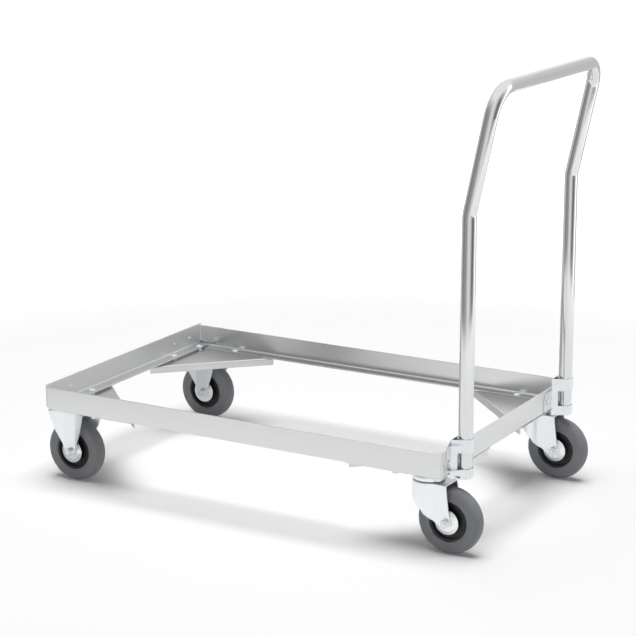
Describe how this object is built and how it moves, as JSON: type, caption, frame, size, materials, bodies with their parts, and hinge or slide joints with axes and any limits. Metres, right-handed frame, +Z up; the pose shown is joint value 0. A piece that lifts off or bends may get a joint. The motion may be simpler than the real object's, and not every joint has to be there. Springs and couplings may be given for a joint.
{
  "type": "platform dolly",
  "caption": "Open angle-steel platform dolly on fixed and swivel castors, with a bent tube push handle that lifts out of its sockets.",
  "frame": {"origin": "on the floor, at the middle of the whole dolly with its handle", "axes": "+X from the front end to the handle end, -Y to the side that faces the camera in the picture, +Z up"},
  "size_m": [1.022, 0.59, 0.9025],
  "materials": {
    "galvanised": "galvanised, dull",
    "zinc": "bright zinc plated",
    "handle": "bright zinc plated tube",
    "fasteners": "zinc plated",
    "bright_steel": "ground steel",
    "tyre": "grey solid rubber, matte",
    "rim": "black moulded plastic"
  },
  "bodies": {
    "frame": {"left_rail": "galvanised", "right_rail": "galvanised", "front_rail": "galvanised", "rear_rail": "galvanised", "corner_welds": "galvanised", "front_left_gusset": "galvanised", "front_right_gusset": "galvanised", "rear_left_gusset": "galvanised", "rear_right_gusset": "galvanised", "frame_bolts": "fasteners", "frame_nuts": "fasteners", "flange_spacers": "fasteners", "socket_screws": "fasteners", "socket_nuts": "fasteners", "left_handle_socket": "zinc", "right_handle_socket": "zinc", "front_left_fork": "zinc", "front_right_fork": "zinc", "rear_left_bowl": "zinc", "rear_right_bowl": "zinc", "rear_left_kingpin": "bright_steel", "rear_right_kingpin": "bright_steel", "rear_left_balls": "bright_steel", "rear_right_balls": "bright_steel", "front_left_axle_tube": "bright_steel", "front_left_guards": "zinc", "front_left_axle_bolt": "fasteners", "front_left_axle_nut": "fasteners", "front_right_axle_tube": "bright_steel", "front_right_guards": "zinc", "front_right_axle_bolt": "fasteners", "front_right_axle_nut": "fasteners"},
    "handle": {"handle": "handle"},
    "rear_left_swivel": {"rear_left_fork": "zinc", "rear_left_axle_tube": "bright_steel", "rear_left_guards": "zinc", "rear_left_axle_bolt": "fasteners", "rear_left_axle_nut": "fasteners"},
    "rear_right_swivel": {"rear_right_fork": "zinc", "rear_right_axle_tube": "bright_steel", "rear_right_guards": "zinc", "rear_right_axle_bolt": "fasteners", "rear_right_axle_nut": "fasteners"},
    "front_left_wheel": {"front_left_tyre": "tyre", "front_left_rim": "rim", "front_left_bearing": "bright_steel"},
    "front_right_wheel": {"front_right_tyre": "tyre", "front_right_rim": "rim", "front_right_bearing": "bright_steel"},
    "rear_left_wheel": {"rear_left_tyre": "tyre", "rear_left_rim": "rim", "rear_left_bearing": "bright_steel"},
    "rear_right_wheel": {"rear_right_tyre": "tyre", "rear_right_rim": "rim", "rear_right_bearing": "bright_steel"}
  },
  "joints": [
    {"name": "front_left_wheel_spin", "type": "hinge", "parent": "frame", "child": "front_left_wheel", "pos_m": [-0.4455, -0.254, 0.0655], "axis": [0, 1, 0], "continuous": true},
    {"name": "front_right_wheel_spin", "type": "hinge", "parent": "frame", "child": "front_right_wheel", "pos_m": [-0.4455, 0.254, 0.0655], "axis": [0, 1, 0], "continuous": true},
    {"name": "rear_left_swivel_turn", "type": "hinge", "parent": "frame", "child": "rear_left_swivel", "pos_m": [0.3805, -0.254, 0.1405], "axis": [0, 0, 1], "continuous": true},
    {"name": "rear_left_wheel_spin", "type": "hinge", "parent": "rear_left_swivel", "child": "rear_left_wheel", "pos_m": [0.4275, -0.254, 0.0655], "axis": [0, 1, 0], "continuous": true},
    {"name": "rear_right_swivel_turn", "type": "hinge", "parent": "frame", "child": "rear_right_swivel", "pos_m": [0.3805, 0.254, 0.1405], "axis": [0, 0, 1], "continuous": true},
    {"name": "rear_right_wheel_spin", "type": "hinge", "parent": "rear_right_swivel", "child": "rear_right_wheel", "pos_m": [0.4275, 0.254, 0.0655], "axis": [0, 1, 0], "continuous": true},
    {"name": "handle_lift", "type": "slide", "parent": "frame", "child": "handle", "axis": [0, 0, 1], "range_m": [0, 0.08]}
  ]
}
